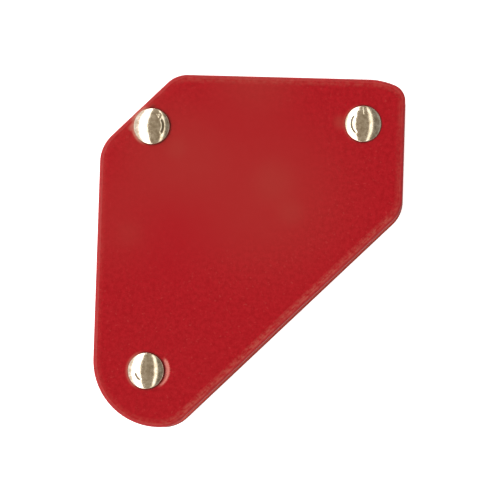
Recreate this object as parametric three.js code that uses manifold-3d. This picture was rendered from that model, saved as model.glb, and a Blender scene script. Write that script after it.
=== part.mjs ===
// Magnetic welding holder for 45, 90 and 135 degree corners, in millimetres.
//
// Two steel side plates clamp ferrite blocks between them. Three double-cap rivets hold the stack
// together, and a brass spacer round each rivet keeps the plates parallel where there is no magnet.
//
// The holder lies on its rear rivet caps. X runs to the right, Y up to the top edge of the outline,
// and Z out of the front plate. The origin is the centre of the outline at the level of the surface
// that the rear caps stand on.

import * as THREE from "three";
import { mergeVertices } from "three/addons/utils/BufferGeometryUtils.js";
import Module from "manifold-3d";

const wasm = await Module();
wasm.setup();

// ---------------------------------------------------------------- driving dimensions

// Outline of both side plates.
const WIDTH = 66.2;
const HEIGHT = 77;
const CHAMFER_LEG = 16.1; // legs of the 45 degree edge at the upper left
const RIGHT_DROP = 28.7; // from the top edge down to where the long 45 degree edge begins
const CORNER_CUT_X = 5.3; // shallow cut that eases the upper right corner
const CORNER_CUT_Y = 2;
const CHAMFER_TOP_RADIUS = 6.3;
const CHAMFER_LEFT_RADIUS = 8.2;
const CORNER_WIDE_RADIUS = 15.4;
const CORNER_TIGHT_RADIUS = 3.7;
const RIGHT_RADIUS = 7;
const TOE_RADIUS = 7.5; // where the long 45 degree edge meets the bottom
const FOOT_RADIUS = 14.5; // big round foot at the lower left

// Stack, from the rear caps to the front caps.
const HEAD_HEIGHT = 1.5;
const PLATE_THICKNESS = 2;
const PLATE_GAP = 9;

// Rounded outer rim of each plate: a quarter ellipse.
const RIM_WIDTH = 1.6;
const RIM_DEPTH = 0.8;

// Rivets: centre of each one in the outline.
const RIVETS = [
  { name: "upper_left", x: -21.95, y: 26.95 },
  { name: "upper_right", x: 24.05, y: 28.7 },
  { name: "lower_left", x: -21.5, y: -26.35 },
];
const PLATE_HOLE_RADIUS = 2.1;
const SPACER_OUTER_RADIUS = 3;
const SPACER_INNER_RADIUS = 2.2;

// Rivet cap: a thin pressed dome, crimped round the flange of the post or the socket.
const HEAD_RADIUS = 3.93;
const CAP_WALL = 0.3;
const CAP_LIP_HEIGHT = 0.25;
const CAP_MOUTH_RADIUS = 2.45;
const CAP_EDGE_HEIGHT = 0.32; // where the dome turns down into its rim

// Rivet post and socket.
const FLANGE_RADIUS = 2.75;
const FLANGE_LOW = 0.3; // underside of the flange above the plate face
const FLANGE_HIGH = 0.6;
const POST_RADIUS = 1.4;
const POST_BORE_RADIUS = 0.9;
const POST_BORE_FLOOR = 1.6; // solid metal left at the tip of the post
const CLINCH_RADIUS = 1.9; // the spread tip of the post, behind the socket
const CLINCH_LOW = 0.65;
const CLINCH_HIGH = 0.95;
const SOCKET_OUTER_RADIUS = 2;
const SOCKET_INNER_RADIUS = 1.5;
const SOCKET_SHORTFALL = 0.2; // the socket stops this far short of the front face

// Ferrite blocks: one in the lower row, two in the middle row and one in the top row.
const MAGNET_HEIGHT = 18;
const WIDE_MAGNET = 30;
const NARROW_MAGNET = 24;
const MAGNET_GAP = 0.2;
const MAGNET_LEFT = -30.6;
const MAGNET_BOTTOM = -18.1;
const TOP_MAGNET_LEFT = -13.7;
const MAGNET_EDGE_RADIUS = 0.6;

// Facets.
const ARC_SEGMENTS = 5; // half the number of chords in each corner of the outline
const MAGNET_ARC_SEGMENTS = 1;
const RIM_SEGMENTS = 4;
const CAP_SIDES = 28;
const POST_SIDES = 16;
const HOLE_SIDES = 24;
const DOME_STEPS = 6;

// ---------------------------------------------------------------- derived values

const LEFT = -WIDTH / 2;
const RIGHT = WIDTH / 2;
const BOTTOM = -HEIGHT / 2;
const TOP = HEIGHT / 2;
const REAR_FACE = HEAD_HEIGHT;
const REAR_INNER = REAR_FACE + PLATE_THICKNESS;
const FRONT_INNER = REAR_INNER + PLATE_GAP;
const FRONT_FACE = FRONT_INNER + PLATE_THICKNESS;

// Corners of the outline, clockwise from the upper left, before they are rounded.
const OUTLINE = [
  { x: LEFT + CHAMFER_LEG, y: TOP, radius: CHAMFER_TOP_RADIUS },
  { x: RIGHT - CORNER_CUT_X, y: TOP, radius: CORNER_WIDE_RADIUS },
  { x: RIGHT, y: TOP - CORNER_CUT_Y, radius: CORNER_TIGHT_RADIUS },
  { x: RIGHT, y: TOP - RIGHT_DROP, radius: RIGHT_RADIUS },
  { x: RIGHT - (HEIGHT - RIGHT_DROP), y: BOTTOM, radius: TOE_RADIUS },
  { x: LEFT, y: BOTTOM, radius: FOOT_RADIUS },
  { x: LEFT, y: TOP - CHAMFER_LEG, radius: CHAMFER_LEFT_RADIUS },
];

// ---------------------------------------------------------------- materials

function paintedSteel() {
  return new THREE.MeshStandardMaterial({ color: 0xac1f24, roughness: 0.35, metalness: 0.0 });
}

function nickel() {
  return new THREE.MeshStandardMaterial({ color: 0xd8cdb6, roughness: 0.15, metalness: 1.0 });
}

function plainSteel() {
  return new THREE.MeshStandardMaterial({ color: 0x9a9a98, roughness: 0.4, metalness: 1.0 });
}

function brass() {
  return new THREE.MeshStandardMaterial({ color: 0xb08d4a, roughness: 0.35, metalness: 1.0 });
}

function ferrite() {
  return new THREE.MeshStandardMaterial({ color: 0x2b2b2d, roughness: 0.8, metalness: 0.1 });
}

// ---------------------------------------------------------------- geometry helpers

// A closed clockwise shape whose straight sides are joined by an arc at each corner.
function roundedShape(corners) {
  const shape = new THREE.Shape();
  corners.forEach((corner, i) => {
    const before = corners[(i + corners.length - 1) % corners.length];
    const after = corners[(i + 1) % corners.length];
    const point = new THREE.Vector2(corner.x, corner.y);
    const arriving = point.clone().sub(before).normalize();
    const leaving = new THREE.Vector2(after.x, after.y).sub(point).normalize();
    const turn = Math.acos(arriving.dot(leaving));
    const setback = corner.radius * Math.tan(turn / 2);
    const start = point.clone().addScaledVector(arriving, -setback);
    const startAngle = Math.atan2(arriving.x, -arriving.y);
    const centreX = start.x + arriving.y * corner.radius;
    const centreY = start.y - arriving.x * corner.radius;
    shape.absarc(centreX, centreY, corner.radius, startAngle, startAngle - turn, true);
  });
  shape.closePath();
  return shape;
}

function toSolid(geometry) {
  const plain = geometry.clone();
  plain.deleteAttribute("normal");
  plain.deleteAttribute("uv");
  const merged = mergeVertices(plain);
  return new wasm.Manifold(
    new wasm.Mesh({
      numProp: 3,
      vertProperties: merged.attributes.position.array,
      triVerts: new Uint32Array(merged.index.array),
    }),
  );
}

function toGeometry(solid) {
  const { vertProperties, triVerts } = solid.getMesh();
  const geometry = new THREE.BufferGeometry();
  geometry.setAttribute("position", new THREE.BufferAttribute(vertProperties, 3));
  geometry.setIndex(new THREE.BufferAttribute(triVerts, 1));
  geometry.computeVertexNormals();
  return geometry;
}

// A body turned about Z from a profile of [radius, height] pairs.
function turned(profile, sides) {
  const points = profile.map(([radius, height]) => new THREE.Vector2(radius, height));
  const geometry = new THREE.LatheGeometry(points, sides);
  geometry.rotateX(Math.PI / 2);
  return geometry;
}

function namedMesh(name, geometry, material) {
  const mesh = new THREE.Mesh(geometry, material);
  mesh.name = name;
  return mesh;
}

// ---------------------------------------------------------------- sub-parts

// A side plate with its inner face at z = 0 and its rounded rim towards +Z.
// The extrusion is twice the plate and rimmed on both faces, and its lower half is cut away.
function plateGeometry() {
  const doubled = new THREE.ExtrudeGeometry(roundedShape(OUTLINE), {
    depth: 2 * (PLATE_THICKNESS - RIM_DEPTH),
    curveSegments: ARC_SEGMENTS,
    bevelThickness: RIM_DEPTH,
    bevelSize: RIM_WIDTH,
    bevelOffset: -RIM_WIDTH,
    bevelSegments: RIM_SEGMENTS,
  });
  doubled.translate(0, 0, RIM_DEPTH - PLATE_THICKNESS);
  const margin = 1;
  const lowerHalf = new THREE.BoxGeometry(WIDTH + margin, HEIGHT + margin, PLATE_THICKNESS + margin);
  lowerHalf.translate(0, 0, -(PLATE_THICKNESS + margin) / 2);
  let plate = toSolid(doubled).subtract(toSolid(lowerHalf));
  for (const rivet of RIVETS) {
    const hole = new THREE.CylinderGeometry(
      PLATE_HOLE_RADIUS,
      PLATE_HOLE_RADIUS,
      2 * PLATE_THICKNESS + margin,
      HOLE_SIDES,
    );
    hole.rotateX(Math.PI / 2);
    hole.translate(rivet.x, rivet.y, 0);
    plate = plate.subtract(toSolid(hole));
  }
  return toGeometry(plate);
}

function frontPlate() {
  const mesh = namedMesh("front_plate", plateGeometry(), paintedSteel());
  mesh.position.z = FRONT_INNER;
  return mesh;
}

// The rear plate is the front plate's mirror image, so that both outlines coincide.
function rearPlate() {
  const mesh = namedMesh("rear_plate", plateGeometry(), paintedSteel());
  mesh.scale.z = -1;
  mesh.position.z = REAR_INNER;
  return mesh;
}

function magnet(name, left, bottom, width) {
  const right = left + width;
  const top = bottom + MAGNET_HEIGHT;
  const corners = [
    { x: left, y: top },
    { x: right, y: top },
    { x: right, y: bottom },
    { x: left, y: bottom },
  ].map((corner) => ({ ...corner, radius: MAGNET_EDGE_RADIUS }));
  const geometry = new THREE.ExtrudeGeometry(roundedShape(corners), {
    depth: PLATE_GAP,
    curveSegments: MAGNET_ARC_SEGMENTS,
    bevelEnabled: false,
  });
  const mesh = namedMesh(name, geometry, ferrite());
  mesh.position.z = REAR_INNER;
  return mesh;
}

function magnets() {
  const rowStep = MAGNET_HEIGHT + MAGNET_GAP;
  const middleRow = MAGNET_BOTTOM + rowStep;
  const topRow = middleRow + rowStep;
  const rightOfMiddle = MAGNET_LEFT + NARROW_MAGNET + MAGNET_GAP;
  return [
    magnet("magnet_lower", MAGNET_LEFT, MAGNET_BOTTOM, WIDE_MAGNET),
    magnet("magnet_middle_left", MAGNET_LEFT, middleRow, NARROW_MAGNET),
    magnet("magnet_middle_right", rightOfMiddle, middleRow, NARROW_MAGNET),
    magnet("magnet_upper", TOP_MAGNET_LEFT, topRow, WIDE_MAGNET),
  ];
}

// The domed side of a cap: part of a sphere, from its crown down to the top of its rim.
function domeProfile(shrink) {
  const crown = HEAD_HEIGHT - shrink;
  const reach = HEAD_RADIUS - shrink;
  const drop = crown - CAP_EDGE_HEIGHT;
  const sphereRadius = (reach * reach + drop * drop) / (2 * drop);
  const halfAngle = Math.asin(reach / sphereRadius);
  const points = [];
  for (let i = 0; i <= DOME_STEPS; i++) {
    const angle = (halfAngle * i) / DOME_STEPS;
    points.push([sphereRadius * Math.sin(angle), crown - sphereRadius * (1 - Math.cos(angle))]);
  }
  return points;
}

// A cap stands on z = 0. It is open below, where its rim is rolled in under the flange.
function capGeometry() {
  const outside = domeProfile(0);
  const inside = domeProfile(CAP_WALL);
  const rim = [
    [HEAD_RADIUS - CAP_WALL / 2, 0],
    [CAP_MOUTH_RADIUS, 0],
    [CAP_MOUTH_RADIUS, CAP_LIP_HEIGHT],
    [HEAD_RADIUS - CAP_WALL, CAP_LIP_HEIGHT],
  ];
  return turned([...outside, ...rim, ...inside.reverse()].reverse(), CAP_SIDES);
}

function cap(name, isFront) {
  const mesh = namedMesh(name, capGeometry(), nickel());
  mesh.position.z = isFront ? FRONT_FACE : REAR_FACE;
  mesh.rotation.x = isFront ? 0 : Math.PI;
  return mesh;
}

// The post hangs from its front flange, runs through the socket and is spread behind it.
function post(name) {
  const tip = REAR_FACE - CLINCH_HIGH;
  const profile = [
    [0, tip],
    [CLINCH_RADIUS, tip],
    [CLINCH_RADIUS, REAR_FACE - CLINCH_LOW],
    [POST_RADIUS, REAR_FACE - CLINCH_LOW],
    [POST_RADIUS, FRONT_FACE + FLANGE_LOW],
    [FLANGE_RADIUS, FRONT_FACE + FLANGE_LOW],
    [FLANGE_RADIUS, FRONT_FACE + FLANGE_HIGH],
    [POST_BORE_RADIUS, FRONT_FACE + FLANGE_HIGH],
    [POST_BORE_RADIUS, tip + POST_BORE_FLOOR],
    [0, tip + POST_BORE_FLOOR],
  ];
  return namedMesh(name, turned(profile, POST_SIDES), plainSteel());
}

// The socket is a flanged tube that enters from the rear and lines all the holes.
function socket(name) {
  const flangeOuter = REAR_FACE - FLANGE_HIGH;
  const flangeInner = REAR_FACE - FLANGE_LOW;
  const end = FRONT_FACE - SOCKET_SHORTFALL;
  const profile = [
    [SOCKET_INNER_RADIUS, flangeOuter],
    [FLANGE_RADIUS, flangeOuter],
    [FLANGE_RADIUS, flangeInner],
    [SOCKET_OUTER_RADIUS, flangeInner],
    [SOCKET_OUTER_RADIUS, end],
    [SOCKET_INNER_RADIUS, end],
    [SOCKET_INNER_RADIUS, flangeOuter],
  ];
  return namedMesh(name, turned(profile, POST_SIDES), plainSteel());
}

function spacer(name) {
  const profile = [
    [SPACER_INNER_RADIUS, REAR_INNER],
    [SPACER_OUTER_RADIUS, REAR_INNER],
    [SPACER_OUTER_RADIUS, FRONT_INNER],
    [SPACER_INNER_RADIUS, FRONT_INNER],
    [SPACER_INNER_RADIUS, REAR_INNER],
  ];
  return namedMesh(name, turned(profile, HOLE_SIDES), brass());
}

function rivetSet({ name, x, y }) {
  const group = new THREE.Group();
  group.position.set(x, y, 0);
  group.add(
    cap(name + "_front_cap", true),
    post(name + "_rivet_post"),
    socket(name + "_rivet_socket"),
    cap(name + "_rear_cap", false),
    spacer(name + "_spacer"),
  );
  return group;
}

// ---------------------------------------------------------------- assembly

const holder = new THREE.Group();
holder.name = "welding_magnet_holder";
holder.add(frontPlate(), rearPlate(), ...magnets(), ...RIVETS.map(rivetSet));

export default holder;
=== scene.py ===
"""The looks of the magnetic welding holder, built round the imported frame. Lengths are in metres."""

import math
from collections import namedtuple

import bmesh
import bpy
from mathutils import Matrix, Vector, noise
from mathutils.geometry import delaunay_2d_cdt


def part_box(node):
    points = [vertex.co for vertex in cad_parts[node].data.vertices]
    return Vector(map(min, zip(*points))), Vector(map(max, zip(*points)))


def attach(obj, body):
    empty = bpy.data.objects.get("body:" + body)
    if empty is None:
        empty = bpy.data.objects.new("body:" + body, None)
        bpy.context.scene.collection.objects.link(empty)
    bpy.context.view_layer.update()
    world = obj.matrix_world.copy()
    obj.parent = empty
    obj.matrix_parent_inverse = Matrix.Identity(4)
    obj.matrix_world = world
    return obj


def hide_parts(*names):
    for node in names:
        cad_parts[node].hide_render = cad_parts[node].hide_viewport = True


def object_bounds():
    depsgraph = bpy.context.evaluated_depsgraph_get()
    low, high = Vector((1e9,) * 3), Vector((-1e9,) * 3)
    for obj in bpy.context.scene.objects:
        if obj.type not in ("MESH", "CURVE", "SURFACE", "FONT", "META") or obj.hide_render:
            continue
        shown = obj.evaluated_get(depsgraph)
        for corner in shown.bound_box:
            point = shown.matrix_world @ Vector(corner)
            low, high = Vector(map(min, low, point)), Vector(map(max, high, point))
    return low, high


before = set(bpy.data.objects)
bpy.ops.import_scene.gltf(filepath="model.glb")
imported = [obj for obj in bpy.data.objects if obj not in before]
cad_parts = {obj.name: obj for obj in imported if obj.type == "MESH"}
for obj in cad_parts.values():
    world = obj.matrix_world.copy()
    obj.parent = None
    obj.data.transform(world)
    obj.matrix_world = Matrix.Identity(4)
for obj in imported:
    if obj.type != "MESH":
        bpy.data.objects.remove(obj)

MM = 0.001
CAD_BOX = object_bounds()
BODY = "root"

# ---------------------------------------------------------------- places and sizes from the frame

PLATE_LOW, PLATE_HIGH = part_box("front_plate")
REAR_LOW, REAR_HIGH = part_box("rear_plate")
LEFT, RIGHT = PLATE_LOW.x, PLATE_HIGH.x
BOTTOM, TOP = PLATE_LOW.y, PLATE_HIGH.y
FRONT_FACE = PLATE_HIGH.z
REAR_FACE = REAR_LOW.z
PLATE_THICKNESS = PLATE_HIGH.z - PLATE_LOW.z
RIVETS = ("upper_left", "upper_right", "lower_left")


def box_middle(node):
    low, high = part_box(node)
    return (low + high).xy / 2


RIVET_CENTRES = {name: box_middle(name + "_spacer") for name in RIVETS}
HEAD_LOW, HEAD_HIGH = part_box("lower_left_front_cap")
HEAD_RADIUS = (HEAD_HIGH.x - HEAD_LOW.x) / 2

# Corners of the plates' outline, clockwise, as in the CAD model: each with the radius that rounds it.
CHAMFER_LEG = 16.1 * MM
RIGHT_DROP = 28.7 * MM
CORNER_CUT_X = 5.3 * MM
CORNER_CUT_Y = 2.0 * MM
OUTLINE = (
    (LEFT + CHAMFER_LEG, TOP, 6.3 * MM),
    (RIGHT - CORNER_CUT_X, TOP, 15.4 * MM),
    (RIGHT, TOP - CORNER_CUT_Y, 3.7 * MM),
    (RIGHT, TOP - RIGHT_DROP, 7.0 * MM),
    (RIGHT - (TOP - BOTTOM - RIGHT_DROP), BOTTOM, 7.5 * MM),
    (LEFT, BOTTOM, 14.5 * MM),
    (LEFT, TOP - CHAMFER_LEG, 8.2 * MM),
)


# ---------------------------------------------------------------- mesh helpers

SHARP_ANGLE = math.radians(38)


def make_object(name, mesh, material, nodes):
    """Links a finished mesh as a piece that rides on the body and stands for its CAD nodes."""
    mesh.set_sharp_from_angle(angle=SHARP_ANGLE)
    mesh.materials.append(material)
    piece = bpy.data.objects.new(name, mesh)
    bpy.context.scene.collection.objects.link(piece)
    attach(piece, BODY)
    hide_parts(*nodes)
    return piece


def mesh_from_bmesh(name, bm):
    bmesh.ops.recalc_face_normals(bm, faces=bm.faces)
    for face in bm.faces:
        face.smooth = True
    mesh = bpy.data.meshes.new(name)
    bm.to_mesh(mesh)
    bm.free()
    return mesh


def bridge(bm, ring_a, ring_b):
    """Joins two closed rings of the same length with quads."""
    count = len(ring_a)
    for i in range(count):
        j = (i + 1) % count
        bm.faces.new((ring_a[i], ring_a[j], ring_b[j], ring_b[i]))


def smoothstep(low, high, value):
    t = min(max((value - low) / (high - low), 0.0), 1.0)
    return t * t * (3 - 2 * t)


def degrees_between(arm, degrees):
    """The angle between a vector in the plane and a direction, both ways round, in degrees."""
    return abs((math.degrees(math.atan2(arm.y, arm.x)) - degrees + 180) % 360 - 180)


# ---------------------------------------------------------------- side plates: outline

ARC_STEP = math.radians(4)
SIDE_STEP = 1.6 * MM


def outline_samples():
    """Points round the outline, clockwise, each with its outward normal."""
    arcs = [corner_arc(i) for i in range(len(OUTLINE))]
    samples = []
    for i, arc in enumerate(arcs):
        samples += arc
        start, normal = arc[-1]
        end = arcs[(i + 1) % len(arcs)][0][0]
        steps = max(1, round((end - start).length / SIDE_STEP))
        samples += [(start.lerp(end, k / steps), normal) for k in range(1, steps)]
    return samples


def corner_arc(i):
    """Points round one corner of the outline, each with its outward normal."""
    x, y, radius = OUTLINE[i]
    corner = Vector((x, y))
    before = Vector(OUTLINE[i - 1][:2])
    after = Vector(OUTLINE[(i + 1) % len(OUTLINE)][:2])
    arriving = (corner - before).normalized()
    leaving = (after - corner).normalized()
    turn = arriving.angle(leaving)
    start = corner - arriving * radius * math.tan(turn / 2)
    centre = start + Vector((arriving.y, -arriving.x)) * radius
    first = math.atan2(arriving.x, -arriving.y)
    steps = max(2, math.ceil(turn / ARC_STEP))
    arc = []
    for k in range(steps + 1):
        angle = first - turn * k / steps
        normal = Vector((math.cos(angle), math.sin(angle)))
        arc.append((centre + normal * radius, normal))
    return arc


# How strongly the outline takes its painted highlights, by the angle in degrees that its normal makes
# with +X: most on the sides that face the lights.
EDGE_LIGHT_SHARES = (
    (-180, 0.15),
    (-135, 0.3),
    (-90, 0.6),
    (-45, 1.0),
    (0, 0.4),
    (45, 0.6),
    (90, 0.55),
    (135, 0.1),
    (180, 0.15),
)


def edge_light_share(normal):
    angle = math.degrees(math.atan2(normal.y, normal.x))
    for (low, light_low), (high, light_high) in zip(EDGE_LIGHT_SHARES, EDGE_LIGHT_SHARES[1:]):
        if angle <= high:
            return light_low + (light_high - light_low) * (angle - low) / (high - low)
    return EDGE_LIGHT_SHARES[-1][1]


# ---------------------------------------------------------------- side plates: outer face

# A rivet's pull dishes the plate under its head: how far the dish's centre lies from the rivet's,
# its radius, its depth, and the direction in degrees in which it keeps its full depth.
Dish = namedtuple("Dish", "offset radius depth towards")
DISHES = {
    "upper_left": Dish(Vector((0.0, 0.0)), 4.3 * MM, 0.04 * MM, 0),
    "upper_right": Dish(Vector((0.0, 0.0)), 4.3 * MM, 0.04 * MM, 0),
    "lower_left": Dish(Vector((1.05, 0.2)) * MM, 4.2 * MM, 0.36 * MM, -10),
}
DISH_SLOPE = 1.0 * MM
DISH_FADES = (38, 60)  # degrees from that direction between which a dish gets shallower
DISH_BEHIND = 0.25  # share of the depth that is left beyond them
WAVE_SIZE = 22 * MM
WAVE_HEIGHT = 0.02 * MM


def face_height(x, y, dished):
    """How far the outer face of a plate lies above its nominal level at a point, 0 or less."""
    height = WAVE_HEIGHT * (noise.noise(Vector((x, y, 0)) / WAVE_SIZE) - 1)
    if dished:
        for name, dish in DISHES.items():
            arm = Vector((x, y)) - RIVET_CENTRES[name] - dish.offset
            away = degrees_between(arm, dish.towards)
            side = 1 - (1 - DISH_BEHIND) * smoothstep(*DISH_FADES, away)
            slope = smoothstep(dish.radius - DISH_SLOPE, dish.radius, arm.length)
            height -= dish.depth * side * (1 - slope)
    return height


# Painted light beside the heads. A painted flare highlight lies to each head's left, and most of the
# painted contact shadow on its other sides. A painted crescent highlight lies along the edge of the
# deepest dish.
FLARE_STRENGTHS = {"upper_left": 1.0, "upper_right": 0.15, "lower_left": 0.45}
FLARE_TOWARDS = 175
FLARE_FADES = (45, 85)
FLARE_WIDTH = 0.7 * MM
# Width of the painted contact shadow round a head, and its share where the painted flare lies.
CONTACT_SHADE_WIDTH = 0.35 * MM
CONTACT_SHADE_IN_FLARE = 0.3
# The painted crescent highlight follows the edge of this head's dish.
CRESCENT_DISH = "lower_left"
CRESCENT_WIDTH = 0.8 * MM
CRESCENT_FADES = (0.35, 0.6)  # distances from the crescent's middle line, as shares of its width


def painted_flare_and_shade(x, y):
    """How much painted flare highlight and how much painted contact shadow lie beside the rivet heads
    at a point.
    """
    painted_flare = painted_shade = 0.0
    for name, strength in FLARE_STRENGTHS.items():
        arm = Vector((x, y)) - RIVET_CENTRES[name]
        gap = arm.length - HEAD_RADIUS
        off_side = smoothstep(*FLARE_FADES, degrees_between(arm, FLARE_TOWARDS))
        painted_flare = max(painted_flare, strength * (1 - off_side) * (1 - smoothstep(0, FLARE_WIDTH, gap)))
        shade_level = CONTACT_SHADE_IN_FLARE + (1 - CONTACT_SHADE_IN_FLARE) * off_side
        painted_shade = max(painted_shade, shade_level * (1 - smoothstep(0, CONTACT_SHADE_WIDTH, gap)))
    return painted_flare, painted_shade


def crescent_highlight(x, y):
    """How strong the painted crescent highlight beside the deepest dish is at a point."""
    dish = DISHES[CRESCENT_DISH]
    arm = Vector((x, y)) - RIVET_CENTRES[CRESCENT_DISH] - dish.offset
    away = degrees_between(arm, dish.towards)
    across = abs(arm.length - dish.radius + CRESCENT_WIDTH / 2) / CRESCENT_WIDTH
    return (1 - smoothstep(*DISH_FADES, away)) * (1 - smoothstep(*CRESCENT_FADES, across))


HOLE_RADIUS = 2.1 * MM
HOLE_SIDES = 72
HOLE_TOLERANCE = 0.999
INSIDE_TRIANGLES = 1  # asks the triangulation for the triangles inside the boundary
MERGE_DISTANCE = 1e-9


def triangulated_face(boundary, dense):
    """Points and triangles of the flat inside a boundary, with the rivet holes left open.

    Also tells where each given point went. The boundary's points come first, then each hole's."""
    points = list(boundary)
    edges = [(i, (i + 1) % len(boundary)) for i in range(len(boundary))]
    centres = list(RIVET_CENTRES.values())
    for centre in centres:
        first = len(points)
        points += circle(centre, HOLE_RADIUS, 0.0)
        edges += [(first + k, first + (k + 1) % HOLE_SIDES) for k in range(HOLE_SIDES)]
    fixed = len(points)
    if dense:
        points += filling_points(boundary, centres)
    made = delaunay_2d_cdt(points, edges, [], INSIDE_TRIANGLES, MERGE_DISTANCE)
    found, _, faces, origins, _, _ = made
    index = {}
    for new, old in enumerate(origins):
        for o in old:
            index[o] = new
    kept = []
    for face in faces:
        middle = sum((found[v] for v in face), Vector((0, 0))) / len(face)
        if all((middle - centre).length > HOLE_RADIUS * HOLE_TOLERANCE for centre in centres):
            kept.append(face)
    return found, kept, index, fixed


def circle(centre, radius, turn):
    """As many points as a hole has sides, turned by a share of one side."""
    points = []
    for k in range(HOLE_SIDES):
        angle = 2 * math.pi * (k + turn) / HOLE_SIDES
        points.append(centre + radius * Vector((math.cos(angle), math.sin(angle))))
    return points


def inside(point, boundary, margin):
    """Whether a point lies at least margin inside a convex clockwise boundary."""
    for i, start in enumerate(boundary):
        side = boundary[(i + 1) % len(boundary)] - start
        if side.length == 0:
            continue
        offset = point - start
        if (side.y * offset.x - side.x * offset.y) / side.length < margin:
            return False
    return True


FIRST_RING = HOLE_RADIUS + 0.5 * MM
RING_STEP = 0.16 * MM
RING_COUNT = 22
RINGS_REACH = FIRST_RING + RING_COUNT * RING_STEP
RING_MARGIN = 0.12 * MM
GRID_STEP = 2.0 * MM


def filling_points(boundary, centres):
    """Rings round each rivet, and a grid over the rest of the face."""
    points = []
    for centre in centres:
        for ring in range(RING_COUNT):
            around = circle(centre, FIRST_RING + ring * RING_STEP, 0.5 * (ring % 2))
            points += [point for point in around if inside(point, boundary, RING_MARGIN)]
    clearance = RINGS_REACH + GRID_STEP / 4
    for i in range(math.ceil((RIGHT - LEFT) / GRID_STEP)):
        for j in range(math.ceil((TOP - BOTTOM) / GRID_STEP)):
            point = Vector((LEFT + i * GRID_STEP, BOTTOM + j * GRID_STEP))
            clear = all((point - centre).length > clearance for centre in centres)
            if clear and inside(point, boundary, GRID_STEP / 3):
                points.append(point)
    return points


# ---------------------------------------------------------------- side plates: whole body

# The rim falls gently over a shoulder, then turns down round a tight corner. The inner face's edge
# is softened by a small radius.
SHOULDER_WIDTH = 1.6 * MM
SHOULDER_DEPTH = 0.11 * MM
SHOULDER_STEPS = 8
EDGE_WIDTH = 0.5 * MM
EDGE_DEPTH = 0.55 * MM
EDGE_STEPS = 10
RIM_WIDTH = SHOULDER_WIDTH + EDGE_WIDTH
BURR_RADIUS = 0.12 * MM
BURR_STEPS = 3
LIP_WIDTH = 0.45 * MM
LIP_RINGS = ((0.36, 1.0), (1.0, 1.0), (1.4, 0.0))  # shares of that width, and the strength of the painted highlight there

# Vertex layers of the plates. Rim is 0 on the flat and rises to 1 at the outline. The lit-side layer
# is how strongly that stretch of the outline takes the painted highlights. The lip layer is 1 along
# the inner face's edge, where a painted highlight lies. Beside a head lie a painted crescent
# highlight, a thin painted flare highlight and a thin painted contact shadow.
RIM_LAYER = "rim"
LIT_SIDE_LAYER = "lit_side"
LIP_HIGHLIGHT_LAYER = "lip_highlight"
CRESCENT_LAYER = "painted_crescent"
PAINTED_FLARE_LAYER = "painted_flare"
PAINTED_SHADE_LAYER = "painted_shade"
PLATE_LAYERS = (RIM_LAYER, LIT_SIDE_LAYER, LIP_HIGHLIGHT_LAYER, CRESCENT_LAYER, PAINTED_FLARE_LAYER, PAINTED_SHADE_LAYER)


def rim_profile():
    """How far in from the outline, and how far below the face, the rim's rings lie."""
    profile = []
    for k in range(SHOULDER_STEPS):
        across = k / SHOULDER_STEPS
        profile.append((RIM_WIDTH - SHOULDER_WIDTH * across, SHOULDER_DEPTH * across * across))
    for k in range(EDGE_STEPS + 1):
        angle = math.pi / 2 * k / EDGE_STEPS
        inset = EDGE_WIDTH * (1 - math.sin(angle))
        profile.append((inset, SHOULDER_DEPTH + EDGE_DEPTH * (1 - math.cos(angle))))
    return profile


class Plate:
    """A plate under construction: flat at height inner, rimmed at height outer.

    Only a dished plate has dishes, and the painted highlights and shade beside the heads."""

    def __init__(self, inner, outer, dished):
        self.inner = inner
        self.outer = outer
        self.dished = dished
        self.direction = 1 if outer > inner else -1
        self.samples = outline_samples()
        self.bm = bmesh.new()
        self.layers = {layer: self.bm.verts.layers.float.new(layer) for layer in PLATE_LAYERS}

    def skin_vert(self, x, y, depth=0.0):
        """A vertex of the outer skin, at a depth below the face, with the painted highlights and shade
        that lie there.
        """
        z = self.outer - self.direction * depth
        z += self.direction * face_height(x, y, self.dished)
        vert = self.bm.verts.new((x, y, z))
        if self.dished:
            painted_flare, painted_shade = painted_flare_and_shade(x, y)
            vert[self.layers[CRESCENT_LAYER]] = crescent_highlight(x, y)
            vert[self.layers[PAINTED_FLARE_LAYER]] = painted_flare
            vert[self.layers[PAINTED_SHADE_LAYER]] = painted_shade
        return vert

    def ring(self, inset, depth, rim, lip_highlight=0.0):
        """A ring of vertices that follows the outline."""
        verts = []
        for point, normal in self.samples:
            x, y = point - normal * inset
            if depth < PLATE_THICKNESS / 2:
                vert = self.skin_vert(x, y, depth)
            else:
                vert = self.bm.verts.new((x, y, self.outer - self.direction * depth))
            vert[self.layers[RIM_LAYER]] = rim
            vert[self.layers[LIT_SIDE_LAYER]] = edge_light_share(normal)
            vert[self.layers[LIP_HIGHLIGHT_LAYER]] = lip_highlight
            verts.append(vert)
        return verts

    def close(self, edge, on_skin):
        """Fills the flat inside a ring and returns the vertices round its rivet holes."""
        boundary = [vert.co.xy for vert in edge]
        found, faces, index, fixed = triangulated_face(boundary, on_skin)
        verts = [None] * len(found)
        for i, vert in enumerate(edge):
            verts[index[i]] = vert
        for i, (x, y) in enumerate(found):
            if verts[i] is None:
                verts[i] = self.skin_vert(x, y) if on_skin else self.bm.verts.new((x, y, self.inner))
        for face in faces:
            self.bm.faces.new([verts[v] for v in face])
        return [verts[index[i]] for i in range(len(edge), fixed)]


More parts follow.
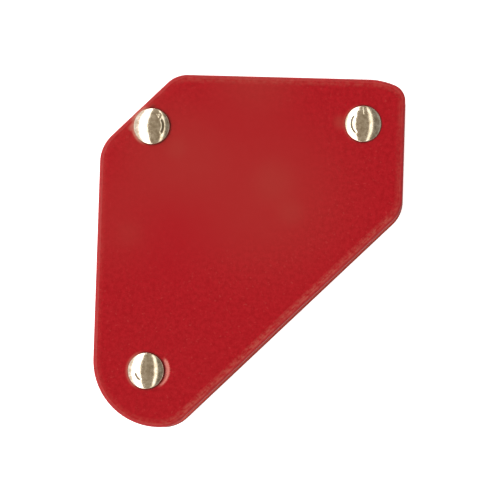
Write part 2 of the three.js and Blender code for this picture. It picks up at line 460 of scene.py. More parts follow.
def plate_mesh(name, inner, outer, dished):
    """A closed plate with its rivet holes, from the outer face's edge round to the inner face's."""
    plate = Plate(inner, outer, dished)
    rings = [plate.ring(inset, depth, 1 - inset / RIM_WIDTH) for inset, depth in rim_profile()]
    for k in range(BURR_STEPS + 1):
        angle = math.pi / 2 * k / BURR_STEPS
        depth = PLATE_THICKNESS - BURR_RADIUS * (1 - math.sin(angle))
        rings.append(plate.ring(BURR_RADIUS * (1 - math.cos(angle)), depth, 1.0))
    for share, lip_highlight in LIP_RINGS:
        rings.append(plate.ring(LIP_WIDTH * share, PLATE_THICKNESS, 0.0, lip_highlight))
    for ring_a, ring_b in zip(rings, rings[1:]):
        bridge(plate.bm, ring_a, ring_b)
    outer_holes = plate.close(rings[0], True)
    inner_holes = plate.close(rings[-1], False)
    for first in range(0, len(outer_holes), HOLE_SIDES):
        span = slice(first, first + HOLE_SIDES)
        bridge(plate.bm, outer_holes[span], inner_holes[span])
    return mesh_from_bmesh(name, plate.bm)


# ---------------------------------------------------------------- turned pieces

def lathe(name, profile, centre, sides, shape=None, shaded=None):
    """A body turned about the vertical through centre, from (radius, height) pairs.

    A profile that doesn't start on the axis closes on itself. shape(point) may return a changed
    point, and the function after it how much painted shade lies there."""
    bm = bmesh.new()
    painted_shade = bm.verts.layers.float.new(PAINTED_SHADE_LAYER)
    rings = []
    for radius, height in profile:
        ring = []
        for k in range(1 if radius == 0 else sides):
            angle = 2 * math.pi * k / sides
            point = Vector((radius * math.cos(angle), radius * math.sin(angle), height))
            shade_level = shaded(point) if shaded else 0.0
            if shape:
                point = shape(point)
            vert = bm.verts.new((centre.x + point.x, centre.y + point.y, point.z))
            vert[painted_shade] = shade_level
            ring.append(vert)
        rings.append(ring)
    pairs = list(zip(rings, rings[1:]))
    if profile[0][0] > 0:
        pairs.append((rings[-1], rings[0]))
    for ring_a, ring_b in pairs:
        if len(ring_a) == 1 or len(ring_b) == 1:
            tip, ring = (ring_a[0], ring_b) if len(ring_a) == 1 else (ring_b[0], ring_a)
            for k in range(sides):
                bm.faces.new((tip, ring[k], ring[(k + 1) % sides]))
        else:
            bridge(bm, ring_a, ring_b)
    return mesh_from_bmesh(name, bm)


def arc_profile(centre, radius, start, end, steps):
    """(radius, height) pairs along an arc from one angle in degrees to another."""
    points = []
    for k in range(steps + 1):
        angle = math.radians(start + (end - start) * k / steps)
        points.append((centre[0] + radius * math.cos(angle), centre[1] + radius * math.sin(angle)))
    return points


CAP_WALL = 0.2 * MM
CAP_LIP = 0.25 * MM
CAP_MOUTH = 2.45 * MM
CAP_MOUTH_FLARE = 0.1 * MM
CAP_MOUTH_DEPTH = 0.08 * MM
CAP_EDGE = 0.32 * MM
CAP_SIDES = 128
DOME_RINGS = 30
CREASE_RINGS = 26
ROLL_START = 35  # degrees above level at which the dome goes over into the rolled rim
ROLL_STEPS = 9

# How each head was struck: how far it leans towards +X in degrees, the radius of its crown's
# sphere, its crease's radius, the angle at which the crease is deepest and how far round it runs to
# each side, and its dents, each a line from one point to another in millimetres.
Head = namedtuple("Head", "lean crown crease_radius crease_at crease_span dents")
DOME_SPHERE = 7.4 * MM
UPPER_LEFT_DENTS = (((1.2, 2.55), (1.75, 2.5)), ((1.75, 2.5), (1.6, 2.0)))
UPPER_RIGHT_DENTS = (((0.3, 2.1), (0.1, 3.6)),)
HEADS = {
    "upper_left": Head(3.1, 10.5 * MM, 2.55 * MM, 0, 42, UPPER_LEFT_DENTS),
    "upper_right": Head(-3.0, DOME_SPHERE, 2.45 * MM, 185, 58, UPPER_RIGHT_DENTS),
    "lower_left": Head(0.0, DOME_SPHERE, 2.2 * MM, 218, 30, ()),
}
CROWN_REACH = 2.1 * MM
CREASE_WIDTH = 0.2 * MM
CREASE_DEPTH = 0.09 * MM
CREASE_FADES = 0.6  # share of its span from which a crease gets shallower
# Width of the painted shade along a crease, and the share of its span from which it fades.
CREASE_SHADE_WIDTH = 0.13 * MM
CREASE_SHADE_FADES = 0.7
DENT_WIDTH = 0.2 * MM
DENT_DEPTH = 0.06 * MM

# The creases lie near this radius, and the dome's rings lie closer together round it.
CREASE_RADIUS = 2.4 * MM
CREASE_ZONE = 4 * CREASE_WIDTH


def lean(point, radius, head):
    """How much a point on a dome that leans towards +X rises. The crown keeps its height."""
    slope = math.tan(math.radians(head.lean))
    reach = min(point.xy.length / radius, 1.0)
    crown_gain = head.crown * slope * slope / 2
    return slope * point.x * min(point.z / CAP_EDGE, 1) - crown_gain * (1 - reach * reach)


def flattening(point, head):
    """How much a point rises where the crown is flatter than the rest of the dome."""
    across = point.xy.length
    change = (1 / DOME_SPHERE - 1 / head.crown) / 2
    return change * across * across * math.exp(-((across / CROWN_REACH) ** 2))


def along_crease(point, head, fades, width):
    """1 in the middle of a head's crease, falling to 0 at its ends and to both sides."""
    away = degrees_between(point, head.crease_at)
    across = (point.xy.length - head.crease_radius) / width
    ends = smoothstep(head.crease_span * fades, head.crease_span, away)
    return (1 - ends) * math.exp(-across * across)


def dent(point, start, end):
    start = Vector(start) * MM
    along = Vector(end) * MM - start
    share = min(max((point.xy - start).dot(along) / along.length_squared, 0.0), 1.0)
    across = (point.xy - start - along * share).length / DENT_WIDTH
    return DENT_DEPTH * math.exp(-across * across)


def dome_profile(reach, low, high, radii):
    """Part of a sphere with its crown at high, down to radius reach at height low."""
    drop = high - low
    sphere = (reach * reach + drop * drop) / (2 * drop)
    return [(r, high - sphere + math.sqrt(sphere * sphere - r * r)) for r in radii]


def even_radii(start, end, steps):
    return [start + (end - start) * k / steps for k in range(steps)]


def cap_profile(radius, height):
    """The dome from its crown to its rim, the rolled rim, and the inside back to the axis."""
    roll = CAP_EDGE / 2
    reach = radius - roll / 2
    crease_from = CREASE_RADIUS - CREASE_ZONE
    crease_to = CREASE_RADIUS + CREASE_ZONE
    radii = even_radii(0.0, crease_from, DOME_RINGS)
    radii += even_radii(crease_from, crease_to, CREASE_RINGS)
    radii += even_radii(crease_to, reach, DOME_RINGS // 2) + [reach]
    profile = dome_profile(reach, CAP_EDGE, height, radii)
    profile += arc_profile((radius - roll, roll), roll, ROLL_START, -90, ROLL_STEPS)
    profile += [(CAP_MOUTH + CAP_MOUTH_FLARE, 0.0), (CAP_MOUTH, CAP_MOUTH_DEPTH), (CAP_MOUTH, CAP_LIP)]
    hollow = radius - CAP_WALL
    radii = even_radii(0.0, hollow, DOME_RINGS) + [hollow]
    ceiling = dome_profile(hollow, CAP_EDGE, height - CAP_WALL, radii)
    profile += [(hollow, CAP_LIP)]
    return profile + ceiling[::-1]


def cap_piece(rivet, front, material):
    """A cap's dome. A front one shows how it was struck, and a rear one is turned upside down."""
    node = f"{rivet}_{'front' if front else 'rear'}_cap"
    low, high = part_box(node)
    radius = (high.x - low.x) / 2
    height = high.z - low.z
    head = HEADS[rivet]

    def struck(point):
        if front and point.z > 0:
            rise = lean(point, radius, head) + flattening(point, head)
            if point.z > CAP_EDGE:
                rise -= CREASE_DEPTH * along_crease(point, head, CREASE_FADES, CREASE_WIDTH)
                rise -= sum(dent(point, start, end) for start, end in head.dents)
            point.z += rise
        return place(point)

    def place(point):
        if front:
            return Vector((point.x, point.y, low.z + point.z))
        return Vector((point.x, -point.y, high.z - point.z))

    # Painted shade along the front cap's crease.
    def shaded(point):
        if front and point.z > CAP_EDGE:
            return along_crease(point, head, CREASE_SHADE_FADES, CREASE_SHADE_WIDTH)
        return 0.0

    profile = cap_profile(radius, height)
    mesh = lathe(node + "_mesh", profile, RIVET_CENTRES[rivet], CAP_SIDES, struck, shaded)
    return make_object(node + "_dome", mesh, material, [node])


SPACER_BORE = 2.2 * MM
SPACER_CHAMFER = 0.2 * MM
SPACER_SIDES = 96


def chamfered_tube(inner, outer, low, high, chamfer):
    return [
        (inner + chamfer, low),
        (outer - chamfer, low),
        (outer, low + chamfer),
        (outer, high - chamfer),
        (outer - chamfer, high),
        (inner + chamfer, high),
        (inner, high - chamfer),
        (inner, low + chamfer),
    ]


def spacer_piece(rivet, material):
    node = rivet + "_spacer"
    low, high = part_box(node)
    outer = (high.x - low.x) / 2
    profile = chamfered_tube(SPACER_BORE, outer, low.z, high.z, SPACER_CHAMFER)
    mesh = lathe(node + "_mesh", profile, RIVET_CENTRES[rivet], SPACER_SIDES)
    return make_object(node + "_sleeve", mesh, material, [node])


FLANGE_THICKNESS = 0.3 * MM
FLANGE_FILLET = 0.05 * MM
FLANGE_EDGE_STEPS = 8
RIVET_SIDES = 64
POST_RADIUS = 1.4 * MM
POST_BORE = 0.9 * MM
POST_BORE_CHAMFER = 0.15 * MM
POST_TIP_SOLID = 1.6 * MM
POST_DRILL_POINT = 0.1 * MM
CLINCH_RADIUS = 1.9 * MM
CLINCH_THICKNESS = 0.3 * MM
SOCKET_OUTER = 2.0 * MM
SOCKET_INNER = 1.5 * MM
SOCKET_CHAMFER = 0.1 * MM


def flange_edge(radius, middle, thickness):
    """The half-round edge of a flange, from its lower side to its upper side."""
    bead = thickness / 2
    return arc_profile((radius - bead, middle), bead, -90, 90, FLANGE_EDGE_STEPS)


def post_piece(rivet, material):
    """The post: a flange with a hollow stem, whose solid tip is spread behind the socket."""
    node = rivet + "_rivet_post"
    low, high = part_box(node)
    flange = (high.x - low.x) / 2
    under = high.z - FLANGE_THICKNESS
    clinch_top = low.z + CLINCH_THICKNESS
    bore_floor = low.z + POST_TIP_SOLID
    profile = [(0.0, low.z)]
    profile += flange_edge(CLINCH_RADIUS, low.z + CLINCH_THICKNESS / 2, CLINCH_THICKNESS)
    profile += [(POST_RADIUS, clinch_top), (POST_RADIUS, under - FLANGE_FILLET)]
    profile += [(POST_RADIUS + FLANGE_FILLET, under)]
    profile += flange_edge(flange, high.z - FLANGE_THICKNESS / 2, FLANGE_THICKNESS)
    profile += [(POST_BORE + POST_BORE_CHAMFER, high.z), (POST_BORE, high.z - POST_BORE_CHAMFER)]
    profile += [(POST_BORE, bore_floor), (0.0, bore_floor - POST_DRILL_POINT)]
    mesh = lathe(node + "_mesh", profile, RIVET_CENTRES[rivet], RIVET_SIDES)
    return make_object(node + "_pressing", mesh, material, [node])


def socket_piece(rivet, material):
    """The socket: a flanged tube, with its flange towards the rear."""
    node = rivet + "_rivet_socket"
    low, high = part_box(node)
    flange = (high.x - low.x) / 2
    profile = [(SOCKET_INNER, low.z + SOCKET_CHAMFER), (SOCKET_INNER + SOCKET_CHAMFER, low.z)]
    profile += flange_edge(flange, low.z + FLANGE_THICKNESS / 2, FLANGE_THICKNESS)
    profile += [(SOCKET_OUTER, low.z + FLANGE_THICKNESS), (SOCKET_OUTER, high.z - SOCKET_CHAMFER)]
    profile += [(SOCKET_OUTER - SOCKET_CHAMFER, high.z), (SOCKET_INNER, high.z)]
    mesh = lathe(node + "_mesh", profile, RIVET_CENTRES[rivet], RIVET_SIDES)
    return make_object(node + "_tube", mesh, material, [node])


# ---------------------------------------------------------------- ferrite blocks

MAGNETS = ("magnet_upper", "magnet_middle_left", "magnet_middle_right", "magnet_lower")
MAGNET_CELL = 0.7 * MM
MAGNET_EDGE = 0.5 * MM
MAGNET_SEED_STEP = 0.1
CHIP_SIZE = 2.6 * MM
CHIP_DEPTH = 0.35 * MM
CHIP_RANGE = (0.18, 0.5)  # noise values from which a chip begins and at which it has its full depth
GRAIN_DEPTH = 0.03 * MM
GRAIN_PER_CHIP = 3


def magnet_mesh(name, low, high, seed):
    """A sintered block: softened edges, a few chips along them, and slightly uneven faces."""
    bm = bmesh.new()
    bmesh.ops.create_cube(bm, size=1)
    size = high - low
    centre = (low + high) / 2
    bmesh.ops.scale(bm, vec=size, verts=bm.verts)
    for axis in range(3):
        normal = Vector((0, 0, 0))
        normal[axis] = 1
        cuts = round(size[axis] / MAGNET_CELL)
        for k in range(1, cuts):
            plane = Vector((0, 0, 0))
            plane[axis] = size[axis] * (k / cuts - 0.5)
            parts = bm.verts[:] + bm.edges[:] + bm.faces[:]
            bmesh.ops.bisect_plane(bm, geom=parts, plane_co=plane, plane_no=normal)
    for vert in bm.verts:
        vert.co = chipped(vert.co, size, seed) + centre
    return mesh_from_bmesh(name, bm)


def chipped(point, size, seed):
    """Rounds a point on a box's surface towards its inside, more where a chip has broken away."""
    place = Vector((point.x, point.y, point.z + seed)) / CHIP_SIZE
    chip = smoothstep(*CHIP_RANGE, noise.noise(place)) * CHIP_DEPTH
    radius = MAGNET_EDGE + 2 * chip
    inner = Vector([max(-s / 2 + radius, min(s / 2 - radius, c)) for c, s in zip(point, size)])
    offset = point - inner
    if offset.length == 0:
        return point
    rounded = inner + offset.normalized() * min(radius, offset.length)
    depth = GRAIN_DEPTH * (noise.noise(place * GRAIN_PER_CHIP) + 1) / 2
    return rounded - offset.normalized() * depth


# ---------------------------------------------------------------- shader nodes

COLOUR_MIX_INPUTS = (0, 6, 7)  # the factor and the two colours
COLOUR_MIX_OUTPUT = 2
RANGE_INPUTS = slice(1, 5)  # from low, from high, to low, to high


class Graph:
    """A node tree under construction. Each method adds a node or a few and returns their output.

    A value may be another node's output, a number or a colour."""

    def __init__(self, tree):
        self.nodes = tree.nodes
        self.links = tree.links

    def feed(self, socket, value):
        if isinstance(value, bpy.types.NodeSocket):
            self.links.new(value, socket)
        elif isinstance(value, tuple):
            socket.default_value = (*value, 1)
        else:
            socket.default_value = value

    def noise(self, vector, scale, detail, roughness):
        texture = self.nodes.new("ShaderNodeTexNoise")
        texture.inputs["Scale"].default_value = scale
        texture.inputs["Detail"].default_value = detail
        texture.inputs["Roughness"].default_value = roughness
        self.feed(texture.inputs["Vector"], vector)
        return texture.outputs["Fac"]

    def ramp(self, factor, stops):
        ramp = self.nodes.new("ShaderNodeValToRGB")
        elements = ramp.color_ramp.elements
        while len(elements) < len(stops):
            elements.new(0.5)
        for element, (position, colour) in zip(elements, stops):
            element.position = position
            element.color = (*colour, 1)
        self.feed(ramp.inputs["Fac"], factor)
        return ramp.outputs["Color"]

    def mix(self, factor, first, second):
        mix = self.nodes.new("ShaderNodeMix")
        mix.data_type = "RGBA"
        for number, value in zip(COLOUR_MIX_INPUTS, (factor, first, second)):
            self.feed(mix.inputs[number], value)
        return mix.outputs[COLOUR_MIX_OUTPUT]

    def spread(self, value, source, target, interpolation="LINEAR"):
        """Maps one range to another, clamped at its ends."""
        node = self.nodes.new("ShaderNodeMapRange")
        node.interpolation_type = interpolation
        for socket, number in zip(node.inputs[RANGE_INPUTS], (*source, *target)):
            socket.default_value = number
        self.feed(node.inputs[0], value)
        return node.outputs[0]

    def math(self, operation, first, second):
        node = self.nodes.new("ShaderNodeMath")
        node.operation = operation
        for socket, value in zip(node.inputs, (first, second)):
            self.feed(socket, value)
        return node.outputs[0]

    def product(self, first, second):
        return self.math("MULTIPLY", first, second)

    def bump(self, height, strength, distance, normal=None):
        bump = self.nodes.new("ShaderNodeBump")
        bump.inputs["Strength"].default_value = strength
        bump.inputs["Distance"].default_value = distance
        self.feed(bump.inputs["Height"], height)
        if normal:
            self.feed(bump.inputs["Normal"], normal)
        return bump.outputs["Normal"]

    def layer(self, name):
        """The value of a vertex layer."""
        layer = self.nodes.new("ShaderNodeAttribute")
        layer.attribute_name = name
        return layer.outputs["Fac"]

    def patches(self, place, patches):
        """The sum of soft round patches."""
        total = None
        for centre, core, reach, strength in patches:
            gap = self.nodes.new("ShaderNodeVectorMath")
            gap.operation = "DISTANCE"
            gap.inputs[1].default_value = centre
            self.feed(gap.inputs[0], place)
            distance = gap.outputs["Value"]
            patch = self.spread(distance, (core, reach), (strength, 0), "SMOOTHERSTEP")
            total = self.math("ADD", total, patch) if total else patch
        return total


def new_material(name):
    """A material with its graph, its shader, and the place on the object as its coordinates."""
    material = bpy.data.materials.new(name)
    material.use_nodes = True
    graph = Graph(material.node_tree)
    shader = graph.nodes["Principled BSDF"]
    place = graph.nodes.new("ShaderNodeTexCoord").outputs["Object"]
    return material, graph, shader, place


# ---------------------------------------------------------------- red enamel

ENAMEL_DARK = (0.298, 0.0008, 0.0075)
ENAMEL_LIGHT = (0.37, 0.0042, 0.0122)
ENAMEL_SMOOTH = (0.334, 0.0025, 0.0100)
# Colour of the patches of painted sheen.
ENAMEL_SHEEN = (0.325, 0.038, 0.029)
ENAMEL_DUST = (0.40, 0.035, 0.035)
# Colour of the rim's painted highlight band, mottled like scuffs.
SCUFF_AND_HIGHLIGHT_RED = (0.40, 0.058, 0.047)
# Colour of the painted shade on the plates' outer edge.
SHADED_EDGE_RED = (0.15, 0.010, 0.008)
# Colour of the painted highlight along the inner face's edge.
LIP_HIGHLIGHT_RED = (0.75, 0.11, 0.09)
# Colour of the painted crescent highlight beside the lower left head.
CRESCENT_HIGHLIGHT_RED = (0.46, 0.095, 0.078)
# Colour of the painted flare highlight beside the heads.
FLARE_BEIGE = (0.55, 0.22, 0.16)
# Colour of the painted contact shadow round the heads.
CONTACT_SHADE_BROWN = (0.06, 0.007, 0.006)
ENAMEL_REFLECTION = (1.0, 0.62, 0.52)

# Patches of painted sheen on the front plate: broad painted reflections, and two small spots of
# painted reflected light beside two heads. Each gives its centre, how far full strength reaches, how
# far any of it reaches, and how strong it is.
SHEEN_PATCHES = (
    (Vector((3, 13, 14.5)) * MM, 0.0, 30 * MM, 0.3),
    (Vector((-18, 22, 14.5)) * MM, 0.0, 20 * MM, 0.3),
    (Vector((-30, 6, 14.5)) * MM, 0.0, 18 * MM, 0.17),
    (Vector((5, 15.5, 14.5)) * MM, 0.0, 8 * MM, 0.18),
    (Vector((9, 9, 14.5)) * MM, 0.0, 5 * MM, 0.18),
    (Vector((-26, 3.5, 14.5)) * MM, 0.0, 5 * MM, 0.12),
    (Vector((-16.5, 22.5, 14.5)) * MM, 0.0, 4 * MM, 0.15),
    (Vector((0, 40, 14.5)) * MM, 0.0, 17 * MM, 0.3),
    (Vector((19.2, 28.9, 14.5)) * MM, 0.0, 2.6 * MM, 0.5),
    (Vector((-25.4, 29.4, 14.5)) * MM, 0.0, 2.6 * MM, 0.7),
)
# Where the enamel flowed out smooth, given in the same way.
SMOOTH = (
    (Vector((-2, 18, 14.5)) * MM, 10 * MM, 24 * MM, 0.85),
    (Vector((-20, 8, 14.5)) * MM, 6 * MM, 22 * MM, 0.6),
)

# How strongly the rim takes its scuff mottle and painted highlight band, from the flat (0) to the
# outline (1), and where the painted shade on its outer edge begins.
SCUFF_AND_HIGHLIGHT_BAND = ((0.08, 0.0), (0.45, 0.85), (0.72, 0.85), (0.84, 0.1))
SHADED_EDGE = (0.975, 1.0)
DULLED_RIM = (0.55, 0.9)


def red_paint():
    """Sprayed enamel: orange peel, a fine mottle, patches of painted sheen, and a duller rim with a
    painted highlight band.
    """
    material, graph, shader, place = new_material("red_paint_enamel")
    smoothed = graph.patches(place, SMOOTH)
    texture = graph.spread(smoothed, (0, 1), (1, 0))
    mottle = graph.noise(place, scale=1100, detail=4, roughness=0.75)
    base = graph.ramp(mottle, [(0.38, ENAMEL_DARK), (0.62, ENAMEL_LIGHT)])
    base = graph.mix(smoothed, base, ENAMEL_SMOOTH)
    # Painted sheen and painted reflected light, in patches.
    base = graph.mix(graph.patches(place, SHEEN_PATCHES), base, ENAMEL_SHEEN)
    specks = graph.noise(place, scale=1700, detail=1, roughness=0.5)
    dust = graph.product(graph.spread(specks, (0.66, 0.76), (0, 0.35)), texture)
    base = graph.mix(dust, base, ENAMEL_DUST)
    graph.feed(shader.inputs["Base Color"], edges_and_painted_light(graph, place, base))
    graph.feed(shader.inputs["Specular IOR Level"], 0.6)
    graph.feed(shader.inputs["Specular Tint"], ENAMEL_REFLECTION)
    gloss = graph.noise(place, scale=420, detail=2, roughness=0.5)
    polished = graph.spread(gloss, (0.3, 0.7), (0.13, 0.22))
    dulled = graph.spread(graph.layer(RIM_LAYER), DULLED_RIM, (0.0, 0.55))
    graph.feed(shader.inputs["Roughness"], graph.math("ADD", polished, dulled))
    peel = graph.product(graph.noise(place, scale=800, detail=0, roughness=0.4), texture)
    fine = graph.product(graph.noise(place, scale=2600, detail=3, roughness=0.6), texture)
    coarse_bump = graph.bump(peel, strength=0.15, distance=0.016 * MM)
    fine_bump = graph.bump(fine, strength=0.3, distance=0.003 * MM, normal=coarse_bump)
    graph.feed(shader.inputs["Normal"], fine_bump)
    return material


def edges_and_painted_light(graph, place, base):
    """Adds the rim's painted highlight band with its scuff mottle, the painted shade on the outer
    edge, the painted highlight along the inner lip, and the painted highlights and shade beside the
    heads.
    """
    rim = graph.layer(RIM_LAYER)
    lit_side = graph.layer(LIT_SIDE_LAYER)
    speckle = graph.noise(place, scale=1300, detail=3, roughness=0.7)
    blotches = graph.spread(speckle, (0.40, 0.60), (0.15, 1.0))
    # A painted highlight band along the rim, mottled like scuffs, strongest on the sides that face the
    # lights.
    band = graph.ramp(rim, [(position, (level,) * 3) for position, level in SCUFF_AND_HIGHLIGHT_BAND])
    base = graph.mix(graph.product(graph.product(blotches, band), lit_side), base, SCUFF_AND_HIGHLIGHT_RED)
    # Painted shade along the outer edge.
    base = graph.mix(graph.spread(rim, SHADED_EDGE, (0, 1)), base, SHADED_EDGE_RED)
    # A painted highlight along the inner face's edge.
    base = graph.mix(graph.product(graph.layer(LIP_HIGHLIGHT_LAYER), lit_side), base, LIP_HIGHLIGHT_RED)
    # Painted crescent highlight beside a head.
    base = graph.mix(graph.layer(CRESCENT_LAYER), base, CRESCENT_HIGHLIGHT_RED)
    # Painted flare highlight beside the heads.
    base = graph.mix(graph.layer(PAINTED_FLARE_LAYER), base, FLARE_BEIGE)
    # Painted contact shadow round the heads.
    return graph.mix(graph.layer(PAINTED_SHADE_LAYER), base, CONTACT_SHADE_BROWN)


# ---------------------------------------------------------------- other materials

NICKEL_CLOUDY = (0.60, 0.50, 0.37)
NICKEL_BRIGHT = (0.95, 0.86, 0.71)
# Colour of the painted shade along the caps' creases.
NICKEL_CREASE_SHADE = (0.10, 0.075, 0.05)
BRASS_CLEAN = (0.62, 0.41, 0.14)
BRASS_TARNISHED = (0.30, 0.18, 0.07)
STEEL_DARK = (0.42, 0.42, 0.40)
STEEL_LIGHT = (0.56, 0.56, 0.55)
FERRITE_DARK = (0.018, 0.018, 0.020)
FERRITE_LIGHT = (0.045, 0.044, 0.046)
FERRITE_DUST = (0.10, 0.09, 0.085)
FLOOR_DARK = (0.86, 0.86, 0.86)
FLOOR_LIGHT = (0.88, 0.88, 0.88)
FLOOR_GLOW = 0.75


def nickel():
    """Polished nickel with a warm cast, dulled by fine scuffs that scatter light in specks."""
    material, graph, shader, place = new_material("nickel_plate")
    cloud = graph.noise(place, scale=1000, detail=3, roughness=0.6)
    colour = graph.ramp(cloud, [(0.35, NICKEL_CLOUDY), (0.68, NICKEL_BRIGHT)])
    # Painted shade along each front cap's crease.
    crease_shaded = graph.mix(graph.layer(PAINTED_SHADE_LAYER), colour, NICKEL_CREASE_SHADE)
    graph.feed(shader.inputs["Base Color"], crease_shaded)
    graph.feed(shader.inputs["Metallic"], 1.0)
    scuff = graph.noise(place, scale=2200, detail=4, roughness=0.7)
    graph.feed(shader.inputs["Roughness"], graph.spread(scuff, (0.35, 0.7), (0.09, 0.22)))
    pitting = graph.noise(place, scale=4200, detail=3, roughness=0.6)
    pitted = graph.bump(pitting, strength=0.35, distance=0.004 * MM)
    graph.feed(shader.inputs["Normal"], pitted)
    return material


def brass():
    """Turned brass tube with fine rings round it and a dull brown tarnish in patches."""
    material, graph, shader, place = new_material("turned_brass")
    tarnish = graph.noise(place, scale=380, detail=4, roughness=0.6)
    colour = graph.ramp(tarnish, [(0.35, BRASS_CLEAN), (0.72, BRASS_TARNISHED)])
    graph.feed(shader.inputs["Base Color"], colour)
    graph.feed(shader.inputs["Metallic"], 1.0)
    graph.feed(shader.inputs["Roughness"], graph.spread(tarnish, (0.3, 0.75), (0.24, 0.5)))
    rings = graph.nodes.new("ShaderNodeTexWave")
    rings.wave_type = "BANDS"
    rings.bands_direction = "Z"
    rings.inputs["Scale"].default_value = 900
    rings.inputs["Distortion"].default_value = 0.6
    graph.feed(rings.inputs["Vector"], place)
    grooved = graph.bump(rings.outputs["Fac"], strength=0.4, distance=0.006 * MM)
    graph.feed(shader.inputs["Normal"], grooved)
    return material


def rivet_steel():
    """Zinc-plated pressed steel with a fine spangle."""
    material, graph, shader, place = new_material("plated_steel")
    spangle = graph.noise(place, scale=900, detail=3, roughness=0.6)
    colour = graph.ramp(spangle, [(0.3, STEEL_DARK), (0.7, STEEL_LIGHT)])
    graph.feed(shader.inputs["Base Color"], colour)
    graph.feed(shader.inputs["Metallic"], 1.0)
    graph.feed(shader.inputs["Roughness"], graph.spread(spangle, (0.3, 0.7), (0.28, 0.42)))
    uneven = graph.bump(spangle, strength=0.3, distance=0.005 * MM)
    graph.feed(shader.inputs["Normal"], uneven)
    return material


def ferrite():
    """Sintered ferrite: charcoal grey, with a fine grain and dust in patches."""
    material, graph, shader, place = new_material("sintered_ferrite")
    grain = graph.noise(place, scale=2600, detail=4, roughness=0.7)
    dust = graph.noise(place, scale=260, detail=3, roughness=0.6)
    base = graph.ramp(grain, [(0.3, FERRITE_DARK), (0.7, FERRITE_LIGHT)])
    dusty = graph.mix(graph.spread(dust, (0.5, 0.8), (0, 0.5)), base, FERRITE_DUST)
    graph.feed(shader.inputs["Base Color"], dusty)
    graph.feed(shader.inputs["Roughness"], graph.spread(dust, (0.3, 0.7), (0.5, 0.8)))
    grainy = graph.bump(grain, strength=0.6, distance=0.02 * MM)
    graph.feed(shader.inputs["Normal"], grainy)
    return material


def floor_material():
    """A light table: it glows a little, so that shadows on it stay faint."""
    material, graph, shader, place = new_material("pale_floor")
    grain = graph.noise(place, scale=40, detail=2, roughness=0.5)
    colour = graph.ramp(grain, [(0.3, FLOOR_DARK), (0.7, FLOOR_LIGHT)])
    graph.feed(shader.inputs["Base Color"], colour)
    graph.feed(shader.inputs["Roughness"], 0.9)
    graph.feed(shader.inputs["Emission Color"], (1, 1, 1))
    graph.feed(shader.inputs["Emission Strength"], FLOOR_GLOW)
    return material


# ---------------------------------------------------------------- stage, light and camera

FOCUS = Vector((0, 0, FRONT_FACE))
SENSOR = 36.0
CAMERA_DISTANCE = 0.7
CAMERA_LEAN = math.radians(3.0)
CAMERA_ROLL = math.radians(1.805)
CLIP_NEAR = 0.01
CLIP_FAR = 20
FIELD_WIDTH = 108.63 * MM
OFF_CENTRE = Vector((0.352, 0.554)) * MM


def add_camera():
    """Looks straight down at the front plate, leaning a little towards the long edge."""
    back = Vector((math.tan(CAMERA_LEAN), -math.tan(CAMERA_LEAN), 1)).normalized()
    level = Vector((0, 1, 0)).cross(back).normalized()
    upright = back.cross(level)
    right = level * math.cos(CAMERA_ROLL) + upright * math.sin(CAMERA_ROLL)
    up = upright * math.cos(CAMERA_ROLL) - level * math.sin(CAMERA_ROLL)
    data = bpy.data.cameras.new("camera")
    data.sensor_width = SENSOR
    data.lens = SENSOR * CAMERA_DISTANCE / FIELD_WIDTH
    data.clip_start = CLIP_NEAR
    data.clip_end = CLIP_FAR
    camera = bpy.data.objects.new("camera", data)
    place = FOCUS + back * CAMERA_DISTANCE + right * OFF_CENTRE.x + up * OFF_CENTRE.y
    axes = Matrix((right, up, back)).transposed()
    camera.matrix_world = Matrix.Translation(place) @ axes.to_4x4()
    bpy.context.scene.collection.objects.link(camera)
    bpy.context.scene.camera = camera


# What surrounds the object: the angle in degrees to the left (-) or right (+) of straight above,
# how bright it is there, and its tint. In between, one value blends into the next. Long softboxes
# stand to the left and right, and it is dim overhead.
STUDIO = (
    (-130, 0.8, (1.0, 1.0, 1.0)),
    (-84, 0.8, (1.0, 1.0, 1.0)),
    (-60, 1.1, (1.0, 0.88, 0.84)),
    (-54, 3.6, (1.0, 1.0, 1.0)),
    (-26, 3.6, (1.0, 1.0, 1.0)),
    (-21, 0.37, (1.0, 0.85, 0.66)),
    (27, 0.34, (1.0, 0.86, 0.68)),
    (31, 1.9, (1.0, 0.97, 0.88)),
    (38, 1.9, (1.0, 0.97, 0.88)),
    (43, 0.24, (1.0, 0.88, 0.72)),
    (62, 0.24, (1.0, 0.90, 0.78)),
    (84, 0.8, (1.0, 1.0, 1.0)),
    (130, 0.8, (1.0, 1.0, 1.0)),
)
STUDIO_SPAN = 300.0
STUDIO_PEAK = 3.6


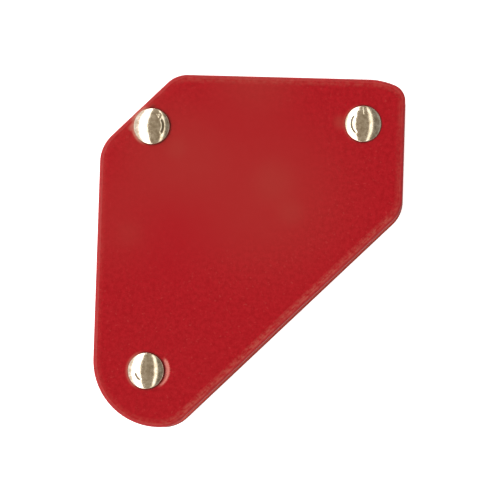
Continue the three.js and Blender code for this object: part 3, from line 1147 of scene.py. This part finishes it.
def add_lights():
    """A world that is a soft studio: bands of light that run along Y on both sides."""
    world = bpy.data.worlds.new("studio")
    world.use_nodes = True
    graph = Graph(world.node_tree)
    background = graph.nodes["Background"]
    coordinates = graph.nodes.new("ShaderNodeTexCoord")
    axes = graph.nodes.new("ShaderNodeSeparateXYZ")
    graph.feed(axes.inputs[0], coordinates.outputs["Generated"])
    angle = graph.math("ARCTAN2", axes.outputs["X"], axes.outputs["Z"])
    half_span = math.radians(STUDIO_SPAN / 2)
    position = graph.spread(angle, (-half_span, half_span), (0, 1))
    stops = []
    for degrees, level, tint in STUDIO:
        scaled = level / STUDIO_PEAK
        stops.append((degrees / STUDIO_SPAN + 0.5, [c * scaled for c in tint]))
    graph.feed(background.inputs["Color"], graph.ramp(position, stops))
    graph.feed(background.inputs["Strength"], STUDIO_PEAK)
    bpy.context.scene.world = world


FLOOR_HALF_WIDTH = 3.0
FLOOR_SEGMENTS = 8


def add_floor():
    bm = bmesh.new()
    bmesh.ops.create_grid(
        bm, x_segments=FLOOR_SEGMENTS, y_segments=FLOOR_SEGMENTS, size=FLOOR_HALF_WIDTH
    )
    floor = bpy.data.objects.new("floor", mesh_from_bmesh("floor_mesh", bm))
    floor.location = (0, 0, CAD_BOX[0].z)
    floor.data.materials.append(floor_material())
    bpy.context.scene.collection.objects.link(floor)


# ---------------------------------------------------------------- assembly

def build():
    paint = red_paint()
    front = plate_mesh("front_plate_mesh", PLATE_LOW.z, FRONT_FACE, True)
    make_object("front_plate_pressing", front, paint, ["front_plate"])
    rear = plate_mesh("rear_plate_mesh", REAR_HIGH.z, REAR_FACE, False)
    make_object("rear_plate_pressing", rear, paint, ["rear_plate"])
    plating, tube, steel = nickel(), brass(), rivet_steel()
    for rivet in RIVETS:
        cap_piece(rivet, True, plating)
        cap_piece(rivet, False, plating)
        spacer_piece(rivet, tube)
        post_piece(rivet, steel)
        socket_piece(rivet, steel)
    block = ferrite()
    for seed, node in enumerate(MAGNETS):
        low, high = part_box(node)
        mesh = magnet_mesh(node + "_mesh", low, high, seed * MAGNET_SEED_STEP)
        make_object(node + "_block", mesh, block, [node])


add_camera()
add_lights()
add_floor()
build()
bpy.context.scene.view_settings.view_transform = "Standard"
